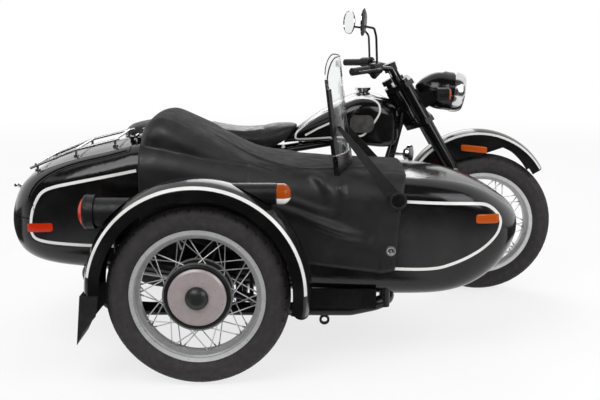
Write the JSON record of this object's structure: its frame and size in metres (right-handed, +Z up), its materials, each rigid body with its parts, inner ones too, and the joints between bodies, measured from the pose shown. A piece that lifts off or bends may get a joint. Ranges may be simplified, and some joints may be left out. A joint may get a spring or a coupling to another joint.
{
  "type": "sidecar motorcycle",
  "caption": "Flat-twin motorcycle with a closed one-seat sidecar, steering fork, free-turning wire wheels and an opening trunk lid.",
  "frame": {"origin": "on the ground under the middle of the whole machine's bounding box", "axes": "+X forward, the way it drives; +Y to the rider's left, with the sidecar on the -Y side; +Z up"},
  "size_m": [2.312, 1.6506, 1.3302],
  "materials": {
    "body_paint": "gloss black",
    "black_paint": "gloss paint",
    "wheel_metal": "satin",
    "tyre": "matt",
    "engine_alloy": "cast",
    "chrome": "polished",
    "rubber": "matt",
    "cover_fabric": "woven cover",
    "seat_leather": "grained",
    "clear_screen": "clear",
    "lamp_glass": "clear",
    "amber_lens": "amber",
    "red_lens": "red",
    "steel": "bare",
    "black_plastic": "satin"
  },
  "bodies": {
    "chassis": {"bike_frame": "black_paint", "engine_case": "engine_alloy", "cylinders": "engine_alloy", "intake": "engine_alloy", "exhaust_pipes": "chrome", "rear_swingarm": "black_paint", "shock_absorbers": "black_paint", "rear_fender": "body_paint", "rear_lamps": "red_lens", "fuel_tank": "black_paint", "fuel_cap": "chrome", "knee_pads": "rubber", "saddle": "seat_leather", "side_covers": "body_paint", "foot_controls": "steel", "horn": "black_plastic", "sidecar_body": "body_paint", "tonneau_cover": "cover_fabric", "windscreen": "clear_screen", "windscreen_frame": "black_paint", "side_fender": "body_paint", "mud_flap": "rubber", "side_lamps": "red_lens", "sidecar_frame": "black_paint", "wheel_arm": "black_paint", "hinge_pins": "steel"},
    "fork": {"fork_legs": "black_paint", "fork_yokes": "black_paint", "handlebar": "chrome", "grips": "rubber", "controls": "black_plastic", "mirrors": "black_plastic", "headlamp_shell": "body_paint", "headlamp_lens": "lamp_glass", "speedometer": "black_plastic", "front_fender": "body_paint", "front_indicators": "amber_lens"},
    "front_wheel": {"front_tyre": "tyre", "front_wire_wheel": "wheel_metal"},
    "rear_wheel": {"rear_tyre": "tyre", "rear_wire_wheel": "wheel_metal"},
    "side_wheel": {"side_tyre": "tyre", "side_wire_wheel": "wheel_metal"},
    "trunk_lid": {"trunk_lid": "body_paint", "luggage_rack": "chrome", "lid_latch": "chrome"}
  },
  "joints": [
    {"name": "steering", "type": "hinge", "parent": "chassis", "child": "fork", "pos_m": [0.49235, 0.39871, 0.78387], "axis": [-0.5, 0, 0.866], "range_deg": [-32, 32]},
    {"name": "front_wheel_spin", "type": "hinge", "parent": "fork", "child": "front_wheel", "pos_m": [0.82605, 0.39871, 0.3299], "axis": [0, 1, 0], "continuous": true},
    {"name": "rear_wheel_spin", "type": "hinge", "parent": "chassis", "child": "rear_wheel", "pos_m": [-0.67395, 0.39871, 0.3299], "axis": [0, 1, 0], "continuous": true},
    {"name": "side_wheel_spin", "type": "hinge", "parent": "chassis", "child": "side_wheel", "pos_m": [-0.38395, -0.74129, 0.3299], "axis": [0, 1, 0], "continuous": true},
    {"name": "trunk_lid_hinge", "type": "hinge", "parent": "chassis", "child": "trunk_lid", "pos_m": [-0.64295, -0.31129, 0.8559], "axis": [0, 1, 0], "range_deg": [0, 65]}
  ]
}
